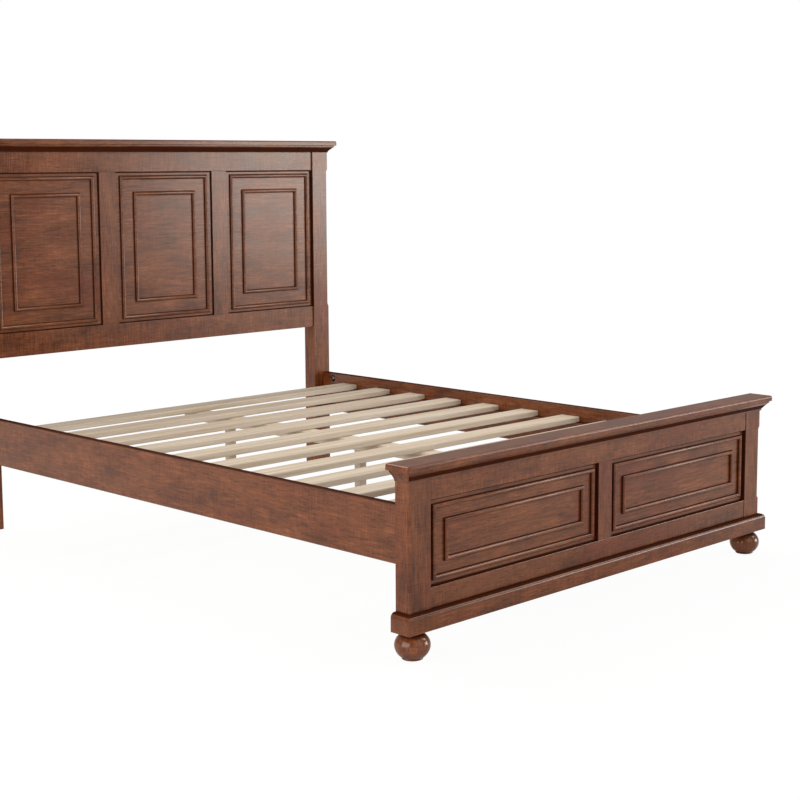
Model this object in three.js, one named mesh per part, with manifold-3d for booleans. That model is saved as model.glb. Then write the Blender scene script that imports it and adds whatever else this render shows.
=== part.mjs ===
// Timber bed: framed and panelled headboard and footboard, bolted side rails and an open slat deck.
// Millimetres, +Z up. X runs across the bed, +Y runs from the footboard to the headboard.
// The origin is on the floor, midway between the ends of the bed.
import * as THREE from 'three';
import { mergeVertices } from 'three/addons/utils/BufferGeometryUtils.js';
import Module from 'manifold-3d';

const wasm = await Module();
wasm.setup();

// Whole bed
const bedWidth = 1600; // over the outer faces of the posts
const innerLength = 2038; // from the back of the footboard to the front of the headboard
const seam = 0.2; // glue line or contact gap between neighbouring pieces
const overrun = 2; // how far a cutting shape runs past the face that it opens

// Posts
const postWidth = 78;
const footPostDepth = 50;
const headPostDepth = 60;
const chamfer = 6; // stopped chamfer on each outer front corner
const chamferStop = 8; // plain corner left at each end of the panel opening
const chamferBitRadius = 7;

// Rails, stiles and joints of the two boards
const boardThickness = 38;
const footSetback = 1.5; // rails and stile behind the face of the posts
const headSetback = 6;
const footStile = 61; // width of the uprights between the panels
const headStile = 70;
const jointWidth = 12; // tenons, grooves and panel tongues share one plane
const tenonLength = 30;
const tenonShoulder = 12;
const grooveDepth = 10;
const groovePlay = 1; // room for a panel to move in its groove

// Panels
const footRecess = 10; // panel face behind the face of its rails
const headRecess = 6;
const panelThickness = 18;
const beadWidth = 12; // the moulding planted on each panel in two rings
const beadRise = 9;
const beadSeat = 2; // how far it is let into the panel
const beadInsetZ = 14.5; // opening edge to the outer ring, up and down
const footBeadInsetX = 14.5; // the same, across the bed
const headBeadInsetX = 20;
const footBeadStepX = 46; // outer ring to inner ring
const footBeadStepZ = 43.5;
const headBeadStep = 59;

// Footboard heights, from the floor up
const bunHeight = 77;
const plinthHeight = 51.5;
const footBottomRail = 55.5;
const footOpening = 230;
const footTopRail = 87;
const footCap = 17;

// Headboard heights, from the floor up
const headLeg = 596;
const headBottomRail = 83.5;
const headOpening = 551;
const headTopRail = 98.5;
const headCap = 18;

// Mouldings
const capOverhang = 30; // past the front and the outer faces of the posts
const capBack = 9; // past the back of the posts
const capRound = 6;
const capEase = 1;
const capCorner = 8; // corners of the board, seen from above
const plinthOverhang = 18.8;
const plinthRound = 14;
const footCorniceHeight = 31;
const headCorniceHeight = 27;
const corniceFoot = 3.5; // the small flat at the bottom of the cornice moulding
const corniceFootHeight = 4.5;
const corniceLip = 22; // reach of the moulding at its top
const corniceLipHeight = 5;
const corniceSag = 0.6; // hollow of its splayed face, measured from the chord

// Bun feet
const bunCollar = 28.5;
const bunCollarHeight = 7;
const bunBase = 31.5; // ball where it meets the notch above the collar
const bunRadius = 47.5;
const bunCentre = 38;
const bunNeck = 23;
const bunNeckHeight = 6;
const bunPin = 11;
const bunPinLength = 24;
const bunOutset = 4; // middle of a foot outside the middle of its post

// Side rails and their bolts
const railHeight = 156;
const railThickness = 25;
const railInset = 8; // outer face of a rail behind the outer face of the posts
const railClearance = 249; // floor to the underside of a rail
const railEase = 2;
const boltDiameter = 8;
const boltPlay = 0.5; // room round the bolt in its hole
const boltIntoPost = 40;
const boltEdge = 21.5; // bolt to the nearer edge of the rail
const boltBackset = 60; // end of the rail to the middle of the access hole
const accessDiameter = 26;
const accessDepth = 20;
const boltPastAccess = 6;
const nutThickness = 7;
const nutHexRadius = 7.5;
const nutHexLength = 6;
const nutHeight = 14;

// Slat deck
const deckDrop = 34; // top of the rails down to the top of the slats
const slatWidth = 81;
const slatThickness = 19;
const slatPitch = 193.5;
const slatPlay = 2; // slat end to the inner face of the rail
const slatEase = 2.5;
const headGap = 122; // headboard to the first slat
const ledgerHeight = 38;
const ledgerThickness = 22;
const ledgerEndGap = 40;
const beamWidth = 58;
const beamHeight = 33;
const legSize = 29;
const firstLegShare = 0.128; // of the beam's length, from its head end to the first leg
const legPitchShare = 0.3795; // of the beam's length, from leg to leg
const legCount = 3;
const timberEase = 1.5;

// Facet counts
const arcSteps = 8;
const cornerSteps = 4;
const bunSteps = 24;
const bunSides = 32;
const pinSides = 16;

// Levels and planes that several pieces share
const bedLength = capOverhang + footPostDepth + innerLength + headPostDepth + capBack;
const footFront = capOverhang - bedLength / 2;
const footBack = footFront + footPostDepth;
const headFront = footBack + innerLength;
const innerWidth = bedWidth - 2 * postWidth;
const plinthTop = bunHeight + plinthHeight;
const railTop = railClearance + railHeight;
const slatTop = railTop - deckDrop;
const slatBottom = slatTop - slatThickness;
const railOuterX = bedWidth / 2 - railInset;
const railInnerX = railOuterX - railThickness;

const stain = new THREE.MeshStandardMaterial({ color: 0x7a5442, roughness: 0.42, metalness: 0 });
const pale = new THREE.MeshStandardMaterial({ color: 0xcdbfa8, roughness: 0.7, metalness: 0 });
const zinc = new THREE.MeshStandardMaterial({ color: 0xb4b4b0, roughness: 0.35, metalness: 0.9 });

// A box that stands on its base, centred in x, with its front face on y = 0.
function block(width, depth, height) {
  return new THREE.BoxGeometry(width, depth, height).translate(0, depth / 2, height / 2);
}

// A closed geometry as a solid that can be cut and joined.
function toSolid(geometry) {
  const bare = geometry.clone();
  bare.deleteAttribute('normal');
  bare.deleteAttribute('uv');
  const merged = mergeVertices(bare);
  const mesh = new wasm.Mesh({
    numProp: 3,
    vertProperties: Float32Array.from(merged.getAttribute('position').array),
    triVerts: Uint32Array.from(merged.getIndex().array),
  });
  return new wasm.Manifold(mesh);
}

// The base with every shape in joined added, and then every shape in cuts taken away.
function carve(base, cuts, joined = []) {
  let solid = toSolid(base);
  for (const shape of joined) {
    solid = solid.add(toSolid(shape));
  }
  for (const shape of cuts) {
    solid = solid.subtract(toSolid(shape));
  }
  const mesh = solid.getMesh();
  const geometry = new THREE.BufferGeometry();
  geometry.setAttribute('position', new THREE.BufferAttribute(mesh.vertProperties, mesh.numProp));
  geometry.setIndex(new THREE.BufferAttribute(mesh.triVerts, 1));
  const flat = geometry.toNonIndexed();
  flat.computeVertexNormals();
  return flat;
}

// A solid with one ring of points for each station, each ring closed, with flat ends.
// loop joins the last station to the first in place of the ends.
function skin(stations, loop) {
  const count = stations[0].length;
  const rings = stations.length;
  const index = [];
  for (let s = 0; s < (loop ? rings : rings - 1); s += 1) {
    const here = s * count;
    const next = ((s + 1) % rings) * count;
    for (let i = 0; i < count; i += 1) {
      const j = (i + 1) % count;
      index.push(here + i, here + j, next + j, here + i, next + j, next + i);
    }
  }
  if (!loop) {
    const last = (rings - 1) * count;
    const ends = THREE.ShapeUtils.triangulateShape(flatten(stations[0]), []);
    for (const [a, b, c] of ends) {
      index.push(c, b, a, last + a, last + b, last + c);
    }
  }
  const geometry = new THREE.BufferGeometry();
  const points = stations.flat().flatMap((p) => [p.x, p.y, p.z]);
  geometry.setAttribute('position', new THREE.Float32BufferAttribute(points, 3));
  geometry.setIndex(index);
  return geometry;
}

// The ring of points seen square on to its own plane, as an outline that turns anticlockwise.
function flatten(ring) {
  const origin = ring[0];
  const area = new THREE.Vector3();
  for (let i = 1; i + 1 < ring.length; i += 1) {
    const a = ring[i].clone().sub(origin);
    const b = ring[i + 1].clone().sub(origin);
    area.add(a.cross(b));
  }
  const normal = area.normalize();
  const across = ring[1].clone().sub(origin).normalize();
  const up = normal.clone().cross(across);
  return ring.map((p) => {
    const from = p.clone().sub(origin);
    return new THREE.Vector2(from.dot(across), from.dot(up));
  });
}

// A bar of the given section, its four long corners eased by a small chamfer. It runs along x.
function easedBar(length, depth, height, ease) {
  const outline = new THREE.Shape([
    new THREE.Vector2(ease, 0),
    new THREE.Vector2(depth - ease, 0),
    new THREE.Vector2(depth, ease),
    new THREE.Vector2(depth, height - ease),
    new THREE.Vector2(depth - ease, height),
    new THREE.Vector2(ease, height),
    new THREE.Vector2(0, height - ease),
    new THREE.Vector2(0, ease),
  ]);
  const bar = new THREE.ExtrudeGeometry(outline, { depth: length, bevelEnabled: false, steps: 1 });
  // The outline's axes become y and z, and the extrusion runs along x.
  const turn = new THREE.Matrix4().makeBasis(
    new THREE.Vector3(0, 1, 0),
    new THREE.Vector3(0, 0, 1),
    new THREE.Vector3(1, 0, 0),
  );
  return bar.applyMatrix4(turn).translate(-length / 2, 0, 0);
}

// Points on a quarter circle, from the first angle to the second, about a centre.
function arcPoints(centreX, centreY, radius, from, to, steps) {
  const points = [];
  for (let i = 0; i <= steps; i += 1) {
    const angle = from + ((to - from) * i) / steps;
    points.push(new THREE.Vector2(centreX + radius * Math.cos(angle), centreY + radius * Math.sin(angle)));
  }
  return points;
}

// The path of a router bit along an outer front corner, from z = low to z = high.
// The cone of the bit leaves a rounded run-out at each end of the chamfer.
function stoppedChamfer(side, low, high) {
  const corner = (side * postWidth) / 2;
  const reach = chamfer + overrun;
  const outline = new THREE.Shape([
    new THREE.Vector2(corner - side * reach, -overrun),
    new THREE.Vector2(corner + side * overrun, -overrun),
    new THREE.Vector2(corner + side * overrun, reach),
  ]);
  const straight = new THREE.ExtrudeGeometry(outline, { depth: high - low, bevelEnabled: false });
  straight.translate(0, 0, low);
  const ends = [low, high].map((level) => {
    const bit = new THREE.CylinderGeometry(
      chamferBitRadius - overrun,
      chamferBitRadius + chamfer + overrun,
      chamfer + 2 * overrun,
      bunSides,
    );
    return bit.translate(corner + side * chamferBitRadius, chamfer / 2, level);
  });
  return [straight, ...ends];
}

// A post with its stopped chamfer, the mortises for its rails, the groove for its panel
// and the holes for the side rail bolts. The side is -1 on the left and 1 on the right.
function post(side, board) {
  const inner = (-side * postWidth) / 2;
  const tongueFront = board.setback + board.recess;
  const openingTop = board.openingBase + board.opening;
  const chamferLow = board.openingBase + chamferStop - board.base;
  const chamferHigh = openingTop - chamferStop - board.base;
  const cuts = stoppedChamfer(side, chamferLow, chamferHigh);
  const rails = [
    [board.railBase, board.openingBase],
    [openingTop, board.top],
  ];
  for (const [low, high] of rails) {
    const height = high - low - 2 * tenonShoulder;
    const mortise = block(2 * tenonLength, jointWidth, height);
    cuts.push(mortise.translate(inner, tongueFront, low + tenonShoulder - board.base));
  }
  const groove = block(2 * grooveDepth, jointWidth, board.opening + 2 * grooveDepth);
  cuts.push(groove.translate(inner, tongueFront, board.openingBase - grooveDepth - board.base));
  for (const level of boltLevels()) {
    const hole = new THREE.CylinderGeometry(
      boltDiameter / 2 + boltPlay,
      boltDiameter / 2 + boltPlay,
      2 * boltIntoPost,
      pinSides,
    );
    const x = side * (railOuterX - railThickness / 2 - bedWidth / 2 + postWidth / 2);
    cuts.push(hole.translate(x, board.boltFace, level - board.base));
  }
  return carve(block(postWidth, board.postDepth, board.top - board.base - seam), cuts);
}

// Heights of the two bolts at each end of a side rail.
function boltLevels() {
  return [railClearance + boltEdge, railTop - boltEdge];
}

// A rail between the posts, with a tenon at each end and a groove along one edge.
function boardRail(board, height, grooveOnTop) {
  const length = innerWidth - 2 * seam;
  const tenonHeight = height - 2 * tenonShoulder - 2 * seam;
  const tenonSpan = length + 2 * (tenonLength - groovePlay);
  const tenon = block(tenonSpan, jointWidth - 2 * seam, tenonHeight);
  tenon.translate(0, board.recess + seam, tenonShoulder + seam);
  const groove = block(length + 2 * overrun, jointWidth, grooveDepth + overrun);
  groove.translate(0, board.recess, grooveOnTop ? height - grooveDepth : -overrun);
  return carve(block(length, boardThickness, height), [groove], [tenon]);
}

// A stile between two rails, grooved on both edges, with a stub tenon at each end.
function stile(board) {
  const height = board.opening - 2 * seam;
  const stub = grooveDepth - groovePlay;
  const tenon = block(board.stile - 2 * grooveDepth, jointWidth - 2 * seam, height + 2 * stub);
  tenon.translate(0, board.recess + seam, -stub);
  const grooves = [-1, 1].map((side) => {
    const groove = block(2 * grooveDepth, jointWidth, height + 2 * overrun);
    return groove.translate((side * board.stile) / 2, board.recess, -overrun);
  });
  return carve(block(board.stile, boardThickness, height), grooves, [tenon]);
}

// A moulding planted in a mitred rectangle: short straight sides under a half round.
// The rectangle is its outer edge, and it stands forward of y = 0.
function beadRing(width, height) {
  const radius = beadWidth / 2;
  const section = [
    new THREE.Vector2(beadWidth, beadSeat),
    ...arcPoints(radius, radius - beadRise, radius, 0, -Math.PI, arcSteps),
    new THREE.Vector2(0, beadSeat),
  ];
  const corners = [
    [-1, -1],
    [1, -1],
    [1, 1],
    [-1, 1],
  ];
  const stations = corners.map(([sx, sz]) => section.map((p) => new THREE.Vector3(
    sx * (width / 2 - p.x),
    p.y,
    height / 2 + sz * (height / 2 - p.x),
  )));
  return skin(stations, true);
}

// A panel: a tongue all round, a thicker field behind, and two rings of moulding on its face.
function panel(board, width) {
  const grip = grooveDepth - groovePlay;
  const tongue = block(width + 2 * grip, jointWidth - 2 * seam, board.opening + 2 * grip);
  tongue.translate(0, seam, -grip);
  const field = block(width - 2 * groovePlay, panelThickness - seam, board.opening - 2 * groovePlay);
  field.translate(0, seam, groovePlay);
  const rings = [0, 1].map((i) => {
    const inX = board.beadInsetX + i * board.beadStepX;
    const inZ = beadInsetZ + i * board.beadStepZ;
    const ring = beadRing(width - 2 * inX, board.opening - 2 * inZ);
    return ring.translate(0, seam, inZ);
  });
  return carve(field, [], [tongue, ...rings]);
}

// A cap board, wider than the board below it, with its corners and top edges rounded.
function capBoard(depth, thickness) {
  const width = bedWidth + 2 * capOverhang;
  const levels = [
    ...arcPoints(0, capEase, capEase, -Math.PI / 2, 0, 1).map((p) => [capEase - p.x, p.y]),
    ...arcPoints(0, thickness - capRound, capRound, 0, Math.PI / 2, arcSteps)
      .map((p) => [capRound - p.x, p.y]),
  ];
  const reach = width / 2 - capCorner;
  const corners = [
    [-reach, capCorner, Math.PI],
    [reach, capCorner, (3 * Math.PI) / 2],
    [reach, depth - capCorner, 0],
    [-reach, depth - capCorner, Math.PI / 2],
  ];
  const stations = levels.map(([inset, z]) => corners.flatMap(([x, y, start]) => {
    const corner = arcPoints(x, y, capCorner - inset, start, start + Math.PI / 2, cornerSteps);
    return corner.map((p) => new THREE.Vector3(p.x, p.y, z));
  }));
  return skin(stations, false);
}

// A moulding that runs along one end, mitres along the front and returns along the other end.
// The section gives how far it stands out from the posts, and its height.
function returnedMoulding(section, depth) {
  const corners = [
    [1, 0],
    [1, 1],
    [-1, 1],
    [-1, 0],
  ];
  const stations = corners.map(([sx, front]) => section.map((p) => new THREE.Vector3(
    sx * (bedWidth / 2 + p.x),
    front ? -p.x : depth,
    p.y,
  )));
  return skin(stations, false);
}

// The cornice under a cap: a small flat, a splayed face, and a lip below the cap.
// Between the posts the moulding is thicker, because the rail stands back there.
function corniceMoulding(depth, height, setback) {
  const hollowBase = new THREE.Vector2(corniceFoot, corniceFootHeight);
  const hollowTop = new THREE.Vector2(corniceLip, height - corniceLipHeight);
  const chord = hollowTop.clone().sub(hollowBase);
  const inward = new THREE.Vector2(-chord.y, chord.x).normalize();
  const hollow = [];
  for (let i = 0; i <= arcSteps; i += 1) {
    const along = i / arcSteps;
    const sag = corniceSag * 4 * along * (1 - along);
    const point = hollowBase.clone().addScaledVector(chord, along);
    hollow.push(point.addScaledVector(inward, sag));
  }
  const section = [
    new THREE.Vector2(seam, 0),
    new THREE.Vector2(corniceFoot, 0),
    ...hollow,
    new THREE.Vector2(corniceLip, height - seam),
    new THREE.Vector2(seam, height - seam),
  ];
  const filler = block(innerWidth - 2 * seam, setback, height - seam).translate(0, -seam, 0);
  return carve(returnedMoulding(section, depth), [], [filler]);
}

// The plinth under the footboard, with a rounded shoulder on its front and ends,
// and a hole above each bun foot for its pin.
function plinth() {
  const shoulder = arcPoints(
    plinthOverhang - plinthRound,
    plinthHeight - plinthRound - seam,
    plinthRound,
    0,
    Math.PI / 2,
    arcSteps,
  );
  const stations = [new THREE.Vector2(plinthOverhang, 0), ...shoulder].map((p) => [
    new THREE.Vector3(-bedWidth / 2 - p.x, -p.x, p.y),
    new THREE.Vector3(bedWidth / 2 + p.x, -p.x, p.y),
    new THREE.Vector3(bedWidth / 2 + p.x, footPostDepth, p.y),
    new THREE.Vector3(-bedWidth / 2 - p.x, footPostDepth, p.y),
  ]);
  const holes = [-1, 1].map((side) => {
    const hole = new THREE.CylinderGeometry(bunPin + seam, bunPin + seam, 2 * bunPinLength, bunSides);
    hole.rotateX(Math.PI / 2);
    return hole.translate(side * bunCentreX(), footPostDepth / 2, 0);
  });
  return carve(skin(stations, false), holes);
}

function postCentreX() {
  return bedWidth / 2 - postWidth / 2;
}

function bunCentreX() {
  return postCentreX() + bunOutset;
}

// A turned bun foot: collar, ball and neck, with the pin that enters the plinth.
function bunFoot() {
  const halfHeight = bunHeight - bunNeckHeight - bunCentre;
  const collarRound = arcPoints(
    bunCollar - bunCollarHeight / 2,
    bunCollarHeight / 2,
    bunCollarHeight / 2,
    -Math.PI / 2,
    Math.PI / 3,
    arcSteps,
  );
  const neckShare = bunNeck / bunRadius;
  const baseShare = bunBase / bunRadius;
  const upper = halfHeight / Math.sqrt(1 - neckShare * neckShare);
  const lower = (bunCentre - bunCollarHeight) / Math.sqrt(1 - baseShare * baseShare);
  const low = -Math.acos(baseShare);
  const high = Math.acos(neckShare);
  const ball = [];
  for (let i = 0; i <= bunSteps; i += 1) {
    const angle = low + ((high - low) * i) / bunSteps;
    const stretch = angle < 0 ? lower : upper;
    ball.push(new THREE.Vector2(bunRadius * Math.cos(angle), bunCentre + stretch * Math.sin(angle)));
  }
  const profile = [
    new THREE.Vector2(0, 0),
    ...collarRound,
    ...ball,
    new THREE.Vector2(bunNeck, bunHeight - seam),
    new THREE.Vector2(bunPin, bunHeight - seam),
    new THREE.Vector2(bunPin, bunHeight + bunPinLength - groovePlay),
    new THREE.Vector2(0, bunHeight + bunPinLength - groovePlay),
  ];
  return new THREE.LatheGeometry(profile, bunSides).rotateX(Math.PI / 2);
}

// A side rail with eased corners. At each end two bolts enter it and end in round access
// holes bored in its inner face. The side is -1 on the left and 1 on the right.
function sideRail(side) {
  const length = innerLength - 2 * seam;
  const bar = easedBar(length, railThickness, railHeight, railEase).rotateZ(Math.PI / 2);
  bar.translate(railThickness / 2, 0, 0);
  const cuts = [];
  for (const end of [-1, 1]) {
    for (const level of boltLevels()) {
      const y = end * (innerLength / 2 - boltBackset);
      const access = new THREE.CylinderGeometry(
        accessDiameter / 2,
        accessDiameter / 2,
        accessDepth + overrun,
        bunSides,
      );
      access.rotateZ(Math.PI / 2);
      const x = (-side * (railThickness - accessDepth + overrun)) / 2;
      cuts.push(access.translate(x, y, level - railClearance));
      const bore = new THREE.CylinderGeometry(
        boltDiameter / 2 + boltPlay,
        boltDiameter / 2 + boltPlay,
        boltBackset + overrun,
        pinSides,
      );
      cuts.push(bore.translate(0, y + (end * (boltBackset + overrun)) / 2, level - railClearance));
    }
  }
  return carve(bar, cuts);
}

// A rail bolt, threaded into a post at one end and held by a nut at the other. It runs along y.
function railBolt() {
  const length = boltIntoPost - groovePlay + boltBackset + boltPastAccess;
  const bolt = new THREE.CylinderGeometry(boltDiameter / 2, boltDiameter / 2, length, pinSides);
  return bolt.translate(0, length / 2 - boltPastAccess, 0);
}

// The half-moon nut: a curved back that seats on the wall of the access hole, and a hexagon.
// Its middle is the middle of the access hole, and its back faces +y.
function halfMoonNut() {
  const radius = accessDiameter / 2 - seam;
  const halfAngle = Math.asin(nutHeight / 2 / radius);
  const back = arcPoints(0, 0, radius, Math.PI / 2 - halfAngle, Math.PI / 2 + halfAngle, arcSteps);
  const face = radius - nutThickness;
  const outline = new THREE.Shape([
    new THREE.Vector2(nutHeight / 2, face),
    ...back,
    new THREE.Vector2(-nutHeight / 2, face),
  ]);
  // The outline lies in the plane of z and y, and the thickness runs along x.
  const moon = new THREE.ExtrudeGeometry(outline, { depth: nutHeight, bevelEnabled: false });
  moon.translate(0, 0, -nutHeight / 2).rotateY(Math.PI / 2);
  const hex = new THREE.CylinderGeometry(nutHexRadius, nutHexRadius, nutHexLength, 6);
  hex.translate(0, face - nutHexLength / 2 + seam, 0);
  const bore = new THREE.CylinderGeometry(
    boltDiameter / 2 + seam,
    boltDiameter / 2 + seam,
    accessDiameter + overrun,
    pinSides,
  );
  return carve(moon, [bore], [hex]);
}

function place(parent, name, geometry, material, x, y, z) {
  const mesh = new THREE.Mesh(geometry, material);
  mesh.name = name;
  mesh.position.set(x, y, z);
  parent.add(mesh);
  return mesh;
}

const sides = [
  [-1, 'left'],
  [1, 'right'],
];

const footBoard = {
  base: plinthTop,
  railBase: plinthTop,
  openingBase: plinthTop + footBottomRail,
  opening: footOpening,
  top: plinthTop + footBottomRail + footOpening + footTopRail,
  postDepth: footPostDepth,
  stile: footStile,
  setback: footSetback,
  recess: footRecess,
  beadInsetX: footBeadInsetX,
  beadStepX: footBeadStepX,
  beadStepZ: footBeadStepZ,
  boltFace: footPostDepth,
};

const headBoard = {
  base: 0,
  railBase: headLeg,
  openingBase: headLeg + headBottomRail,
  opening: headOpening,
  top: headLeg + headBottomRail + headOpening + headTopRail,
  postDepth: headPostDepth,
  stile: headStile,
  setback: headSetback,
  recess: headRecess,
  beadInsetX: headBeadInsetX,
  beadStepX: headBeadStep,
  beadStepZ: headBeadStep,
  boltFace: 0,
};

// The posts, rails and cornice of one board, placed in a group whose y = 0 is the face of the posts.
function boardFrame(prefix, board, corniceHeight, capThickness) {
  const group = new THREE.Group();
  for (const [side, word] of sides) {
    place(group, `${prefix}_post_${word}`, post(side, board), stain, side * postCentreX(), 0, board.base);
  }
  const lowHeight = board.openingBase - board.railBase;
  const highBase = board.openingBase + board.opening;
  const highHeight = board.top - highBase - seam;
  const lowRail = boardRail(board, lowHeight, true);
  place(group, `${prefix}_rail_bottom`, lowRail, stain, 0, board.setback, board.railBase);
  const highRail = boardRail(board, highHeight, false);
  place(group, `${prefix}_rail_top`, highRail, stain, 0, board.setback, highBase);
  const cornice = corniceMoulding(board.postDepth, corniceHeight, board.setback);
  place(group, `${prefix}_cornice`, cornice, stain, 0, 0, board.top - corniceHeight);
  const cap = capBoard(capOverhang + board.postDepth + capBack, capThickness);
  place(group, `${prefix}_cap`, cap, stain, 0, -capOverhang, board.top);
  return group;
}

// Stiles and panels that fill the opening of a board, evenly spaced between the posts.
function fillOpening(group, prefix, board, names) {
  const count = names.length;
  const openWidth = (innerWidth - (count - 1) * board.stile) / count;
  const pitch = openWidth + board.stile;
  const panelShape = panel(board, openWidth);
  names.forEach((word, i) => {
    const x = (i - (count - 1) / 2) * pitch;
    const y = board.setback + board.recess;
    place(group, `${prefix}_panel_${word}`, panelShape, stain, x, y, board.openingBase);
  });
  const stileShape = stile(board);
  const stileWords = count === 2 ? [''] : ['_left', '_right'];
  stileWords.forEach((word, i) => {
    const x = (i - (count - 2) / 2) * pitch;
    place(group, `${prefix}_stile${word}`, stileShape, stain, x, board.setback, board.openingBase + seam);
  });
}

function footboard() {
  const group = boardFrame('foot', footBoard, footCorniceHeight, footCap);
  fillOpening(group, 'foot', footBoard, ['left', 'right']);
  place(group, 'foot_plinth', plinth(), stain, 0, 0, bunHeight);
  const bun = bunFoot();
  for (const [side, word] of sides) {
    place(group, `bun_foot_${word}`, bun, stain, side * bunCentreX(), footPostDepth / 2, 0);
  }
  group.position.y = footFront;
  return group;
}

function headboard() {
  const group = boardFrame('head', headBoard, headCorniceHeight, headCap);
  fillOpening(group, 'head', headBoard, ['left', 'centre', 'right']);
  group.position.y = headFront;
  return group;
}

// Side rails, their ledgers, and the bolts and nuts at the four corners.
function railSet() {
  const group = new THREE.Group();
  const middleY = footBack + innerLength / 2;
  const bolt = railBolt();
  const nut = halfMoonNut();
  const ledger = easedBar(innerLength - 2 * ledgerEndGap, ledgerThickness, ledgerHeight, timberEase);
  ledger.rotateZ(Math.PI / 2).translate(ledgerThickness / 2, 0, 0);
  for (const [side, word] of sides) {
    const railX = side * (railOuterX - railThickness / 2);
    place(group, `side_rail_${word}`, sideRail(side), stain, railX, middleY, railClearance);
    const ledgerX = side * (railInnerX - seam - ledgerThickness / 2);
    place(group, `ledger_${word}`, ledger, stain, ledgerX, middleY, slatBottom - seam - ledgerHeight);
    for (const [end, board] of [[-1, 'foot'], [1, 'head']]) {
      const accessY = middleY + end * (innerLength / 2 - boltBackset);
      boltLevels().forEach((level, i) => {
        const height = i === 0 ? 'lower' : 'upper';
        const boltMesh = place(group, `bolt_${board}_${word}_${height}`, bolt, zinc, railX, accessY, level);
        const nutMesh = place(group, `nut_${board}_${word}_${height}`, nut, zinc, railX, accessY, level);
        boltMesh.rotation.z = end > 0 ? 0 : Math.PI;
        nutMesh.rotation.z = end > 0 ? 0 : Math.PI;
      });
    }
  }
  return group;
}

// Slats, the beam that carries them in the middle, and its legs.
function slatDeck() {
  const group = new THREE.Group();
  const slatLength = 2 * (railInnerX - slatPlay);
  const slat = easedBar(slatLength, slatWidth, slatThickness, slatEase);
  const firstY = headFront - headGap - slatWidth;
  const slatCount = Math.floor((firstY - footBack) / slatPitch) + 1;
  for (let i = 0; i < slatCount; i += 1) {
    const name = `slat_${String(i + 1).padStart(2, '0')}`;
    place(group, name, slat, pale, 0, firstY - i * slatPitch, slatBottom);
  }
  const beamLength = (slatCount - 1) * slatPitch + slatWidth;
  const beamBase = slatBottom - seam - beamHeight;
  const beam = easedBar(beamLength, beamWidth, beamHeight, timberEase).rotateZ(Math.PI / 2);
  beam.translate(beamWidth / 2, 0, 0);
  place(group, 'centre_beam', beam, pale, 0, firstY + slatWidth - beamLength / 2, beamBase);
  const legHeight = beamBase - seam;
  const leg = easedBar(legHeight, legSize, legSize, timberEase).rotateY(-Math.PI / 2);
  leg.translate(legSize / 2, -legSize / 2, legHeight / 2);
  for (let i = 0; i < legCount; i += 1) {
    const down = (firstLegShare + i * legPitchShare) * beamLength;
    place(group, `centre_leg_${i + 1}`, leg, pale, 0, firstY + slatWidth - down, 0);
  }
  return group;
}

const bed = new THREE.Group();
bed.add(footboard(), headboard(), railSet(), slatDeck());

export default bed;
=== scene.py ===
from math import radians

import bpy
import numpy as np
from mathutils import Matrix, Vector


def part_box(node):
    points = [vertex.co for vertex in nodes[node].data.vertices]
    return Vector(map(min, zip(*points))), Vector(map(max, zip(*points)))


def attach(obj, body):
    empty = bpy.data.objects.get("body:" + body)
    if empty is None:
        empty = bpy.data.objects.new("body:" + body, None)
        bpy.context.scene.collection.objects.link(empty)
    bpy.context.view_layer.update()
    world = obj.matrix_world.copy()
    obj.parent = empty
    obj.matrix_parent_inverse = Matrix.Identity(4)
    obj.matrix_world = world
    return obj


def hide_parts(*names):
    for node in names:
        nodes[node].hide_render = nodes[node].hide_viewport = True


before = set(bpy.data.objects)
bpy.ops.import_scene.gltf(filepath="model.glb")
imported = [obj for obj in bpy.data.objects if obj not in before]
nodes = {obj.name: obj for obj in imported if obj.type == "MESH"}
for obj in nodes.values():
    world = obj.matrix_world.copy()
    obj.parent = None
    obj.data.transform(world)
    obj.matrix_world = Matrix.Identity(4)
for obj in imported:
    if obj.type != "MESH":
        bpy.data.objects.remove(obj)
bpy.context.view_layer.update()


# Bun feet: two turned hardwood balls under the ends of the footboard. Each is turned in one
# piece on a lathe, with a collar below, a neck above, and a pin glued into the plinth.


def srgb(red, green, blue):
    """Display values from 0 to 255 as linear light: the gamma curve undone, with alpha 1."""
    c = np.array([red, green, blue]) / 255.0
    low = c / 12.92
    high = ((c + 0.055) / 1.055) ** 2.4
    return tuple(np.where(c <= 0.04045, low, high)) + (1.0,)


def made_surface(name, grid, painted_shade=None, smooth_under=35.0):
    """A closed surface from a grid of rings, each ring joined to the next by four-sided faces.
    Each row of the grid is one closed ring, and the first and last rings are filled flat."""
    rings, points = grid.shape[:2]
    number = np.arange(rings * points).reshape(rings, points)
    here, there = number[:-1], number[1:]
    faces = np.stack(
        [here, np.roll(here, -1, 1), np.roll(there, -1, 1), there], axis=-1
    ).reshape(-1, 4)
    corners = grid.reshape(-1, 3)
    a, b, c = corners[faces[:, 0]], corners[faces[:, 1]], corners[faces[:, 2]]
    middle = corners.mean(axis=0)
    outward = np.einsum("ij,ij->", np.cross(b - a, c - b), a - middle) > 0
    every = faces.tolist() + [number[0][::-1].tolist(), number[-1].tolist()]
    if not outward:
        every = [face[::-1] for face in every]
    mesh = bpy.data.meshes.new(name)
    mesh.from_pydata(corners.tolist(), [], every)
    mesh.polygons.foreach_set("use_smooth", np.ones(len(every), bool))
    mesh.set_sharp_from_angle(angle=radians(smooth_under))
    # The optional value per ring is the amount of painted shade, kept as a point attribute.
    if painted_shade is not None:
        layer = mesh.attributes.new("painted_shade", "FLOAT", "POINT")
        layer.data.foreach_set("value", np.repeat(painted_shade, points).astype(np.float32))
    piece = bpy.data.objects.new(name, mesh)
    bpy.context.scene.collection.objects.link(piece)
    return piece


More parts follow.
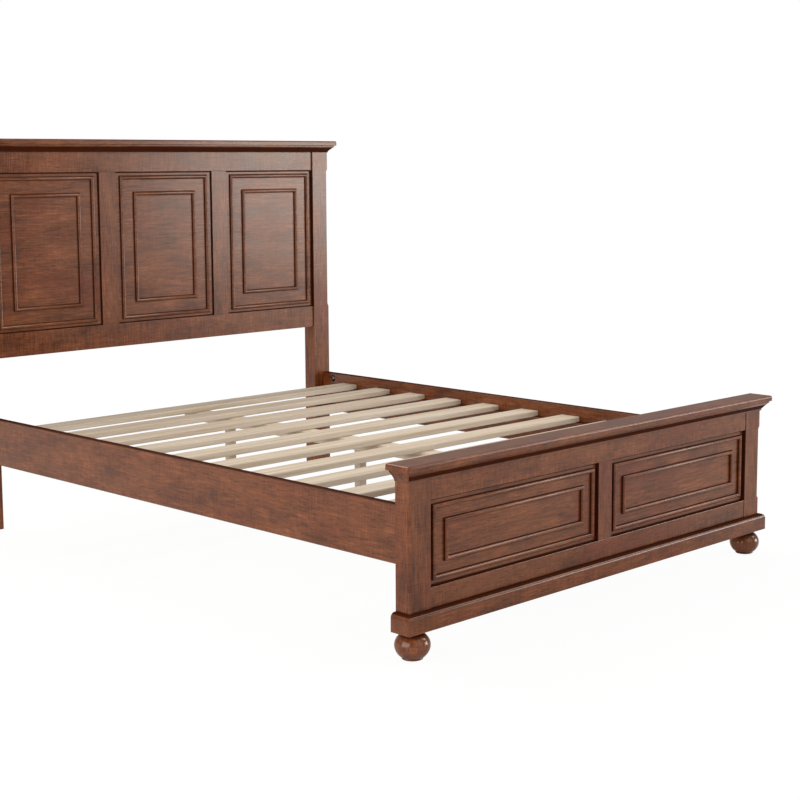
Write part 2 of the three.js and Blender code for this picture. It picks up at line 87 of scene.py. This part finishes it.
def stained_wood(name, grain, recess=None, painted_shade_at=None, gloss=(0.2, 0.26), cross=0.2, coat=0.0):
    """Satin reddish brown stain on an open-grained timber. Soft clouds of tone run along the
    grain, with fine streaks, faint planer marks across it, short dark pores and tan patches.
    Dark brown is painted where shade falls, in place of shadow, occlusion and blocked
    reflection, and the reflection there is dulled: on the walls of a recess, or as the chosen
    mask says, by a point attribute, on the top of a ledge, round the crown of a bun, or on the
    front of a band between two heights."""
    wood = bpy.data.materials.new(name)
    wood.use_nodes = True
    tree = wood.node_tree
    tree.nodes.clear()
    link = tree.links.new

    def add(kind, **settings):
        node = tree.nodes.new(kind)
        for key, value in settings.items():
            setattr(node, key, value)
        return node

    def noise(along, across, detail, roughness):
        scale = [across] * 3
        scale[grain] = along
        mapping = add("ShaderNodeMapping")
        mapping.inputs["Scale"].default_value = scale
        link(place.outputs["Object"], mapping.inputs["Vector"])
        texture = add("ShaderNodeTexNoise")
        texture.inputs["Scale"].default_value = 1.0
        texture.inputs["Detail"].default_value = detail
        texture.inputs["Roughness"].default_value = roughness
        link(mapping.outputs["Vector"], texture.inputs["Vector"])
        return texture.outputs["Fac"]

    def maths(operation, first, second, clamp=False):
        node = add("ShaderNodeMath", operation=operation, use_clamp=clamp)
        for socket, value in zip(node.inputs, (first, second)):
            if isinstance(value, (int, float)):
                socket.default_value = value
            else:
                link(value, socket)
        return node.outputs[0]

    def ramp(factor, stops):
        node = add("ShaderNodeValToRGB")
        while len(node.color_ramp.elements) < len(stops):
            node.color_ramp.elements.new(0.5)
        for element, (position, colour) in zip(node.color_ramp.elements, stops):
            element.position = position
            element.color = colour
        link(factor, node.inputs["Fac"])
        return node.outputs["Color"]

    def mixed(factor, first, second, blend="MIX"):
        node = add("ShaderNodeMix", data_type="RGBA", blend_type=blend)
        for socket, value in ((0, factor), (6, first), (7, second)):
            if isinstance(value, (int, float, tuple)):
                node.inputs[socket].default_value = value
            else:
                link(value, node.inputs[socket])
        return node.outputs[2]

    place = add("ShaderNodeTexCoord")
    cloud = noise(5.0, 22.0, 4.0, 0.55)
    streak = noise(12.0, 170.0, 6.0, 0.72)
    pore = noise(34.0, 520.0, 3.0, 0.6)
    blotch = noise(9.0, 15.0, 4.0, 0.55)
    chatter = noise(300.0, 18.0, 3.0, 0.6)
    patch = noise(3.5, 8.0, 3.0, 0.5)
    tone = maths("MULTIPLY", cloud, 0.22)
    tone = maths("ADD", tone, maths("MULTIPLY", streak, 0.6 - cross))
    tone = maths("ADD", tone, maths("MULTIPLY", chatter, cross))
    tone = maths("ADD", tone, maths("MULTIPLY", blotch, 0.18))
    colour = ramp(tone, [
        (0.39, srgb(74, 34, 15)),
        (0.455, srgb(94, 47, 21)),
        (0.50, srgb(110, 58, 26)),
        (0.55, srgb(125, 67, 34)),
        (0.62, srgb(150, 88, 51)),
    ])
    tan = ramp(patch, [(0.50, (0, 0, 0, 1)), (0.68, (0.38, 0.38, 0.38, 1))])
    red = ramp(patch, [(0.32, (0.5, 0.5, 0.5, 1)), (0.45, (0, 0, 0, 1))])
    colour = mixed(tan, colour, srgb(131, 76, 42))
    colour = mixed(red, colour, srgb(108, 46, 20))
    dark_pore = ramp(pore, [(0.37, (0.42, 0.36, 0.3, 1)), (0.48, (1, 1, 1, 1))])
    colour = mixed(0.8, colour, dark_pore, "MULTIPLY")
    geometry = add("ShaderNodeNewGeometry")
    facing = add("ShaderNodeSeparateXYZ")
    link(geometry.outputs["True Normal"], facing.inputs[0])
    where = add("ShaderNodeSeparateXYZ")
    link(place.outputs["Object"], where.inputs[0])
    # Painted shade: each choice below is a mask for where dark brown stands in for shadow, occlusion
    # and blocked reflection.
    painted_shade = None
    if painted_shade_at == "attribute":
        shade_attribute = add("ShaderNodeAttribute", attribute_name="painted_shade")
        painted_shade = shade_attribute.outputs["Fac"]
    elif painted_shade_at == "ledge":
        # Painted shade and a painted dark reflection on up-facing faces, with a thin painted shadow
        # line where a quirk groove would be.
        painted_shade = maths("MULTIPLY", maths("SUBTRACT", facing.outputs["Z"], 0.62), 7.0, clamp=True)
        quirk_shadow = maths("ABSOLUTE", maths("SUBTRACT", where.outputs["Z"], QUIRK_SHADOW_LEVEL), 0.0)
        quirk_shadow = maths("MULTIPLY", maths("LESS_THAN", quirk_shadow, QUIRK / 2), 0.5)
        painted_shade = maths("MAXIMUM", painted_shade, quirk_shadow)
    elif painted_shade_at == "crown":
        # Painted shadow over the crown of the bun, where the plinth above shades it.
        painted_shade = maths("MULTIPLY", maths("SUBTRACT", where.outputs["Z"], CROWN_SHADOW_LEVEL), 110.0, clamp=True)
    elif painted_shade_at is not None:
        # Painted shade on the forward faces of a band between two heights, under an overhang.
        forward = maths("LESS_THAN", facing.outputs["Y"], -0.3)
        above = maths("GREATER_THAN", where.outputs["Z"], painted_shade_at[0])
        below = maths("LESS_THAN", where.outputs["Z"], painted_shade_at[1])
        painted_shade = maths("MULTIPLY", forward, maths("MULTIPLY", above, below))
    if recess is not None:
        # Painted shade on the side walls inside a frame opening.
        low, high = recess
        sideways = maths("LESS_THAN", maths("ABSOLUTE", facing.outputs["Y"], 0.0), 0.6)
        inside = maths("LESS_THAN", maths("ABSOLUTE", where.outputs["X"], 0.0), high[0])
        above = maths("GREATER_THAN", where.outputs["Z"], low[1])
        below = maths("LESS_THAN", where.outputs["Z"], high[1])
        painted_shade = maths("MULTIPLY", maths("MULTIPLY", sideways, inside), maths("MULTIPLY", above, below))
    shader = add("ShaderNodeBsdfPrincipled")
    shader.inputs["Specular IOR Level"].default_value = 0.44
    rough = ramp(blotch, [(0.3, (gloss[0],) * 3 + (1,)), (0.7, (gloss[1],) * 3 + (1,))])
    # The painted shade itself: dark brown over the wood, rougher and with less reflection where shade
    # is painted.
    if painted_shade is not None:
        colour = mixed(maths("MULTIPLY", painted_shade, 0.92), colour, srgb(58, 23, 9))
        rough = mixed(painted_shade, rough, (0.7, 0.7, 0.7, 1))
        shaded_specular = maths("SUBTRACT", 0.44, maths("MULTIPLY", painted_shade, 0.4))
        link(shaded_specular, shader.inputs["Specular IOR Level"])
    link(colour, shader.inputs["Base Color"])
    link(rough, shader.inputs["Roughness"])
    shader.inputs["Coat Weight"].default_value = coat
    shader.inputs["Coat Roughness"].default_value = 0.12
    height = maths("ADD", maths("MULTIPLY", streak, 0.6), maths("MULTIPLY", pore, 0.4))
    bump = add("ShaderNodeBump")
    bump.inputs["Strength"].default_value = 0.12
    bump.inputs["Distance"].default_value = 0.0005
    link(height, bump.inputs["Height"])
    link(bump.outputs["Normal"], shader.inputs["Normal"])
    output = add("ShaderNodeOutputMaterial")
    link(shader.outputs["BSDF"], output.inputs["Surface"])
    return wood


# Above this height each bun is painted dark, as the plinth's shadow on its crown.
CROWN_SHADOW_LEVEL = 0.059
turned_wood = stained_wood("turned_wood", grain=2, painted_shade_at="crown", gloss=(0.14, 0.22), coat=0.25)
BUN_TOP = 0.0768
COLLAR = 0.0285
COLLAR_HEIGHT = 0.007
BALL = 0.0475
BALL_BASE = 0.0315
BALL_MIDDLE = 0.038
NECK = 0.023
NECK_LEVEL = 0.071


def bun_profile():
    """Radius and height from the floor up: a part-round collar, a notch, then two halves of an
    ellipse that share the widest point, and a straight neck."""
    turn = np.linspace(-np.pi / 2, np.pi / 3, 12)
    collar_r = COLLAR - COLLAR_HEIGHT / 2 + COLLAR_HEIGHT / 2 * np.cos(turn)
    collar_z = COLLAR_HEIGHT / 2 + COLLAR_HEIGHT / 2 * np.sin(turn)
    low = -np.arccos(BALL_BASE / BALL)
    high = np.arccos(NECK / BALL)
    sweep = np.linspace(low, high, 56)
    under = (BALL_MIDDLE - COLLAR_HEIGHT) / -np.sin(low)
    over = (NECK_LEVEL - BALL_MIDDLE) / np.sin(high)
    ball_r = BALL * np.cos(sweep)
    ball_z = BALL_MIDDLE + np.where(sweep < 0, under, over) * np.sin(sweep)
    radius = np.concatenate([collar_r, ball_r, [NECK]])
    height = np.concatenate([collar_z, ball_z, [BUN_TOP]])
    return radius, height


for side in ("left", "right"):
    low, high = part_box(f"bun_foot_{side}")
    centre = (low + high) / 2
    radius, height = bun_profile()
    angle = np.linspace(0, 2 * np.pi, 96, endpoint=False)
    ring = np.empty((len(radius), len(angle), 3))
    ring[..., 0] = centre.x + radius[:, None] * np.cos(angle)
    ring[..., 1] = centre.y + radius[:, None] * np.sin(angle)
    ring[..., 2] = height[:, None]
    bun = made_surface(f"turned_bun_{side}", ring, smooth_under=50.0)
    bun.data.materials.append(turned_wood)
    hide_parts(f"bun_foot_{side}")
    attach(bun, "root")


# Footboard frame: plinth, two posts, two rails and a middle stile, mortised and glued. The
# walls of the openings are painted dark, as painted shade where shadow falls in them.


def eased(node, width, wood):
    """The CAD piece with its corners joined up, its arrises eased and its finish put on."""
    piece = nodes[node]
    weld = piece.modifiers.new("joined corners", "WELD")
    weld.merge_threshold = 1e-5
    ease = piece.modifiers.new("eased arrises", "BEVEL")
    ease.width = width
    ease.segments = 2
    ease.limit_method = "ANGLE"
    ease.angle_limit = radians(40.0)
    piece.material_slots[0].material = wood


FRAME_EASE = 0.0012
OPENING_X = 0.7225
FOOT_OPENING = ((0.0, 0.1835), (OPENING_X, 0.4145))
long_grain = stained_wood("long_grain", grain=0)
foot_long = stained_wood("foot_rails", grain=0, recess=FOOT_OPENING, cross=0.34)
foot_upright = stained_wood("foot_uprights", grain=2, recess=FOOT_OPENING)
# Height and width of the thin painted shadow line round the plinth, where a quirk groove would be.
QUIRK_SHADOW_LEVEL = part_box("foot_plinth")[1].z - 0.0118
QUIRK = 0.0026
eased("foot_plinth", FRAME_EASE, stained_wood("plinth_wood", grain=0, painted_shade_at="ledge"))
for node in ("foot_rail_bottom", "foot_rail_top"):
    eased(node, FRAME_EASE, foot_long)
for node in ("foot_post_left", "foot_post_right", "foot_stile"):
    eased(node, FRAME_EASE, foot_upright)


# Panels: each is a flat board that floats in grooves in its frame. Two mitred frames of
# half-round moulding are planted on its face, one inside the other.

BEAD = 0.012
BEAD_RISE = 0.009
BEAD_SIDE = 0.003
GROOVE = 0.009
TONGUE = 0.0116


def planted_beads(first, step):
    """Inset across, inset up, rise and painted shade of each line of the panel's face, from its
    edge to its middle. A bead is a half circle on short straight sides, with painted shade at
    its feet and along the panel's edge, where shadow would fall."""
    # The panel's edge against the frame gets full painted shade.
    edge = np.array([0.0, 0.0035, 0.0055])
    across, up, rise, painted_shade = [edge], [edge], [0 * edge], [np.array([1.0, 1.0, 0.0])]
    turn = np.linspace(0.0, np.pi, 15)
    run = BEAD / 2 * (1 - np.cos(turn))
    lift = BEAD_SIDE + (BEAD_RISE - BEAD_SIDE) * np.sin(turn)
    margin = 0.003
    for ring in (0, 1):
        line = np.concatenate([[-margin, 0.0], run, [BEAD, BEAD + margin]])
        across.append(first[0] + ring * step[0] + line)
        up.append(first[1] + ring * step[1] + line)
        rise.append(np.concatenate([[0.0, 0.0], lift, [0.0, 0.0]]))
        # Painted shade at each bead's feet, fading out up its sides.
        painted_shade.append(np.concatenate([[0.0, 1.0], np.clip(1.2 - 2.4 * np.sin(turn), 0, 1), [1.0, 0.0]]))
    return tuple(np.concatenate(values) for values in (across, up, rise, painted_shade))


def moulded_panel(node, first, step):
    """The panel as rings of rectangles: back, edge, tongue, then the face with its beads."""
    low, high = (np.array(corner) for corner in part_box(node))
    across, up, rise, painted_shade = planted_beads(first, step)
    face = low[1] + BEAD_RISE
    lead_x = [GROOVE + 0.001, GROOVE + 0.001, 0.0, 0.0]
    lead_y = [high[1], face + TONGUE, face + TONGUE, face]
    inset_x = np.concatenate([lead_x, GROOVE + across])
    inset_z = np.concatenate([lead_x, GROOVE + up])
    line_y = np.concatenate([lead_y, face - rise])
    # The back, edge and tongue in the groove get a light painted shade.
    painted_shade = np.concatenate([[0.3] * 4, painted_shade])
    grid = np.empty((len(inset_x), 4, 3))
    sign_x = np.array([-1, 1, 1, -1])
    sign_z = np.array([-1, -1, 1, 1])
    middle = (low + high) / 2
    half = (high - low) / 2
    grid[..., 0] = middle[0] + sign_x * (half[0] - inset_x[:, None])
    grid[..., 1] = line_y[:, None]
    grid[..., 2] = middle[2] + sign_z * (half[2] - inset_z[:, None])
    panel = made_surface(f"moulded_{node}", grid, painted_shade=painted_shade)
    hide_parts(node)
    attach(panel, "root")
    return panel


# The panels' painted shade comes from the point attribute on their meshes.
panel_wood = stained_wood("panel_wood", grain=0, painted_shade_at="attribute", cross=0.1)
for side in ("left", "right"):
    panel = moulded_panel(f"foot_panel_{side}", (0.0145, 0.0145), (0.046, 0.0435))
    panel.data.materials.append(panel_wood)


# Footboard cornice and cap: a splayed moulding mitred round the front and ends, and a board
# with rounded edges glued on top of it.

MOULDING_EASE = 0.0006
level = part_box("foot_cornice")[0].z
# The front of the footboard cornice's hollow, under the cap, is painted dark as shade.
foot_hollow = (level + 0.006, level + 0.0195)
eased("foot_cornice", MOULDING_EASE, stained_wood("foot_cornice_wood", grain=0, painted_shade_at=foot_hollow))
eased("foot_cap", MOULDING_EASE, long_grain)


# Headboard: posts that run to the floor, rails, two stiles, three floating panels with the
# same beads, and the same cornice and cap.

HEAD_OPENING = ((0.0, 0.679), (OPENING_X, 1.231))
# The headboard's rails and uprights are painted dark on the walls of the openings, as shade.
head_long = stained_wood("head_rails", grain=0, recess=HEAD_OPENING, cross=0.34)
head_upright = stained_wood("head_uprights", grain=2, recess=HEAD_OPENING)
for node in ("head_rail_bottom", "head_rail_top"):
    eased(node, FRAME_EASE, head_long)
for node in ("head_post_left", "head_post_right", "head_stile_left", "head_stile_right"):
    eased(node, FRAME_EASE, head_upright)
for side in ("left", "centre", "right"):
    panel = moulded_panel(f"head_panel_{side}", (0.020, 0.0145), (0.059, 0.059))
    panel.data.materials.append(panel_wood)
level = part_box("head_cornice")[0].z
# The front of the headboard cornice's hollow, under the cap, is painted dark as shade.
head_hollow = (level, level + 0.0185)
eased("head_cornice", MOULDING_EASE, stained_wood("head_cornice_wood", grain=0, painted_shade_at=head_hollow))
eased("head_cap", MOULDING_EASE, long_grain)


# Side rails and ledgers: plain boards that run the length of the bed. The rails are bolted
# to the posts, and the ledgers are screwed to their inner faces. Their top faces are painted
# dark, as painted shade and a painted dark reflection.

rail_wood = stained_wood("rail_wood", grain=1, painted_shade_at="ledge")
for side in ("left", "right"):
    nodes[f"side_rail_{side}"].material_slots[0].material = rail_wood
    nodes[f"ledger_{side}"].material_slots[0].material = rail_wood


# Slats, centre beam and legs: planed softwood left bare. The slats are laid across the ledgers
# and the beam, and the beam stands on three square legs.


def planed_softwood(name, grain):
    """Pale timber: a warm white ground with long soft streaks of late wood and fine fibres."""
    wood = bpy.data.materials.new(name)
    wood.use_nodes = True
    tree = wood.node_tree
    shader = tree.nodes["Principled BSDF"]
    place = tree.nodes.new("ShaderNodeTexCoord")
    fields = []
    for along, across, detail in ((1.6, 60.0, 4.0), (14.0, 700.0, 3.0)):
        scale = [across] * 3
        scale[grain] = along
        mapping = tree.nodes.new("ShaderNodeMapping")
        mapping.inputs["Scale"].default_value = scale
        texture = tree.nodes.new("ShaderNodeTexNoise")
        texture.inputs["Scale"].default_value = 1.0
        texture.inputs["Detail"].default_value = detail
        tree.links.new(place.outputs["Object"], mapping.inputs["Vector"])
        tree.links.new(mapping.outputs["Vector"], texture.inputs["Vector"])
        fields.append(texture.outputs["Fac"])
    ramp = tree.nodes.new("ShaderNodeValToRGB")
    ramp.color_ramp.elements.new(0.5)
    stops = ((0.36, srgb(187, 165, 139)), (0.5, srgb(203, 187, 168)), (0.66, srgb(214, 201, 184)))
    for element, (position, colour) in zip(ramp.color_ramp.elements, stops):
        element.position = position
        element.color = colour
    blend = tree.nodes.new("ShaderNodeMix")
    blend.data_type = "FLOAT"
    blend.inputs[0].default_value = 0.35
    tree.links.new(fields[0], blend.inputs[2])
    tree.links.new(fields[1], blend.inputs[3])
    tree.links.new(blend.outputs[0], ramp.inputs["Fac"])
    tree.links.new(ramp.outputs["Color"], shader.inputs["Base Color"])
    shader.inputs["Roughness"].default_value = 0.62
    bump = tree.nodes.new("ShaderNodeBump")
    bump.inputs["Strength"].default_value = 0.2
    bump.inputs["Distance"].default_value = 0.0004
    tree.links.new(fields[1], bump.inputs["Height"])
    tree.links.new(bump.outputs["Normal"], shader.inputs["Normal"])
    return wood


slat_wood = planed_softwood("slat_wood", grain=0)
beam_wood = planed_softwood("beam_wood", grain=1)
leg_wood = planed_softwood("leg_wood", grain=2)
for node, piece in nodes.items():
    if node.startswith("slat_"):
        piece.material_slots[0].material = slat_wood
    if node.startswith("centre_leg"):
        piece.material_slots[0].material = leg_wood
nodes["centre_beam"].material_slots[0].material = beam_wood


# Bolts and half-moon nuts: zinc-plated steel, two at each end of a side rail. Each bolt is
# drawn up by a nut that sits in a round access hole on the inner face of the rail.

zinc = bpy.data.materials.new("zinc_plate")
zinc.use_nodes = True
plate = zinc.node_tree.nodes["Principled BSDF"]
plate.inputs["Metallic"].default_value = 1.0
zinc_place = zinc.node_tree.nodes.new("ShaderNodeTexCoord")
spangle = zinc.node_tree.nodes.new("ShaderNodeTexNoise")
spangle.inputs["Scale"].default_value = 900.0
spangle_tone = zinc.node_tree.nodes.new("ShaderNodeValToRGB")
spangle_tone.color_ramp.elements[0].color = srgb(150, 150, 146)
spangle_tone.color_ramp.elements[1].color = srgb(205, 205, 200)
zinc.node_tree.links.new(zinc_place.outputs["Object"], spangle.inputs["Vector"])
zinc.node_tree.links.new(spangle.outputs["Fac"], spangle_tone.inputs["Fac"])
zinc.node_tree.links.new(spangle_tone.outputs["Color"], plate.inputs["Base Color"])
plate.inputs["Roughness"].default_value = 0.4
for node, piece in nodes.items():
    if node.startswith(("bolt_", "nut_")):
        piece.material_slots[0].material = zinc


# Studio: a plain pale floor, five large soft lamps, and the camera at the photograph's angle.
# The full white of the floor and the world shows to the camera and adds no light to the bed.

floor_mesh = bpy.data.meshes.new("studio_floor")
reach = 40.0
floor_mesh.from_pydata(
    [(-reach, -reach, 0), (reach, -reach, 0), (reach, reach, 0), (-reach, reach, 0)],
    [],
    [(0, 1, 2, 3)],
)
floor = bpy.data.objects.new("studio_floor", floor_mesh)
bpy.context.scene.collection.objects.link(floor)
paper = bpy.data.materials.new("white_paper")
paper.use_nodes = True
paper_tree = paper.node_tree
matt = paper_tree.nodes["Principled BSDF"]
matt.inputs["Base Color"].default_value = (0.74, 0.74, 0.74, 1)
matt.inputs["Roughness"].default_value = 0.9
matt.inputs["Specular IOR Level"].default_value = 0.0
seen = paper_tree.nodes.new("ShaderNodeLightPath")
glow = paper_tree.nodes.new("ShaderNodeEmission")
glow.inputs["Strength"].default_value = 1.02
spot = paper_tree.nodes.new("ShaderNodeTexCoord")
distance = paper_tree.nodes.new("ShaderNodeVectorMath")
distance.operation = "LENGTH"
fade = paper_tree.nodes.new("ShaderNodeMapRange")
fade.inputs["From Min"].default_value = 2.0
fade.inputs["From Max"].default_value = 9.0
fade.inputs["To Min"].default_value = 0.93
fade.inputs["To Max"].default_value = 1.0
share = paper_tree.nodes.new("ShaderNodeMath")
share.operation = "MULTIPLY"
blend = paper_tree.nodes.new("ShaderNodeMixShader")
paper_tree.links.new(spot.outputs["Object"], distance.inputs[0])
paper_tree.links.new(distance.outputs["Value"], fade.inputs["Value"])
paper_tree.links.new(seen.outputs["Is Camera Ray"], share.inputs[0])
paper_tree.links.new(fade.outputs["Result"], share.inputs[1])
paper_tree.links.new(share.outputs[0], blend.inputs["Fac"])
paper_tree.links.new(matt.outputs["BSDF"], blend.inputs[1])
paper_tree.links.new(glow.outputs["Emission"], blend.inputs[2])
paper_tree.links.new(blend.outputs["Shader"], paper_tree.nodes["Material Output"].inputs["Surface"])
floor_mesh.materials.append(paper)

world = bpy.data.worlds.new("studio")
bpy.context.scene.world = world
world.use_nodes = True
sky = world.node_tree
backdrop = sky.nodes["Background"]
backdrop.inputs["Color"].default_value = (1, 1, 1, 1)
ray = sky.nodes.new("ShaderNodeLightPath")


def share_of(amount, plain, chosen):
    """The plain strength where amount is 0, the chosen one where it is 1."""
    node = sky.nodes.new("ShaderNodeMix")
    node.data_type = "FLOAT"
    sky.links.new(amount, node.inputs[0])
    for socket, value in ((2, plain), (3, chosen)):
        if isinstance(value, float):
            node.inputs[socket].default_value = value
        else:
            sky.links.new(value, node.inputs[socket])
    return node.outputs[0]


lighting = share_of(ray.outputs["Is Glossy Ray"], 0.51, 0.29)
lighting = share_of(ray.outputs["Is Transmission Ray"], lighting, 1.0)
lighting = share_of(ray.outputs["Is Camera Ray"], lighting, 1.0)
sky.links.new(lighting, backdrop.inputs["Strength"])


def softbox(name, place, aim, size, power):
    """A lamp of that width and height in metres at place, turned to face aim."""
    lamp = bpy.data.lights.new(name, "AREA")
    lamp.shape = "RECTANGLE"
    lamp.size, lamp.size_y = size
    lamp.energy = power
    lamp.color = (1.0, 0.97, 0.9)
    holder = bpy.data.objects.new(name, lamp)
    holder.location = place
    away = np.array(place) - np.array(aim)
    flat = float(np.hypot(away[0], away[1]))
    holder.rotation_euler = (float(np.arctan2(flat, away[2])), 0, float(np.arctan2(away[0], -away[1])))
    bpy.context.scene.collection.objects.link(holder)


softbox("overhead", (0.0, 3.0, 5.2), (0, 0.2, 0.4), (4.0, 4.0), 205.0)
softbox("front_fill", (-0.4, -6.2, 3.2), (0.0, 0.0, 0.5), (5.0, 4.6), 56.0)
softbox("high_right", (4.5, -2.8, 4.2), (0.0, -0.6, 0.4), (2.6, 2.6), 76.0)
softbox("headboard_side", (8.1, -6.7, 1.75), (0.6, 1.0, 0.9), (3.9, 3.0), 292.0)
softbox("left_window", (-6.5, -0.8, 2.3), (0.0, -0.8, 0.4), (6.0, 4.0), 230.0)

camera_data = bpy.data.cameras.new("photograph")
camera_data.sensor_width = 36.0
camera_data.lens = 71.92
camera_data.shift_x = -0.08365
camera_data.shift_y = -0.0469
camera_data.clip_end = 200.0
camera = bpy.data.objects.new("photograph", camera_data)
camera.location = (-3.58144, -3.88413, 1.29172)
camera.rotation_euler = (radians(90.0 - 7.40), 0.0, radians(-46.72))
bpy.context.scene.collection.objects.link(camera)
bpy.context.scene.camera = camera
bpy.context.scene.view_settings.view_transform = "Standard"
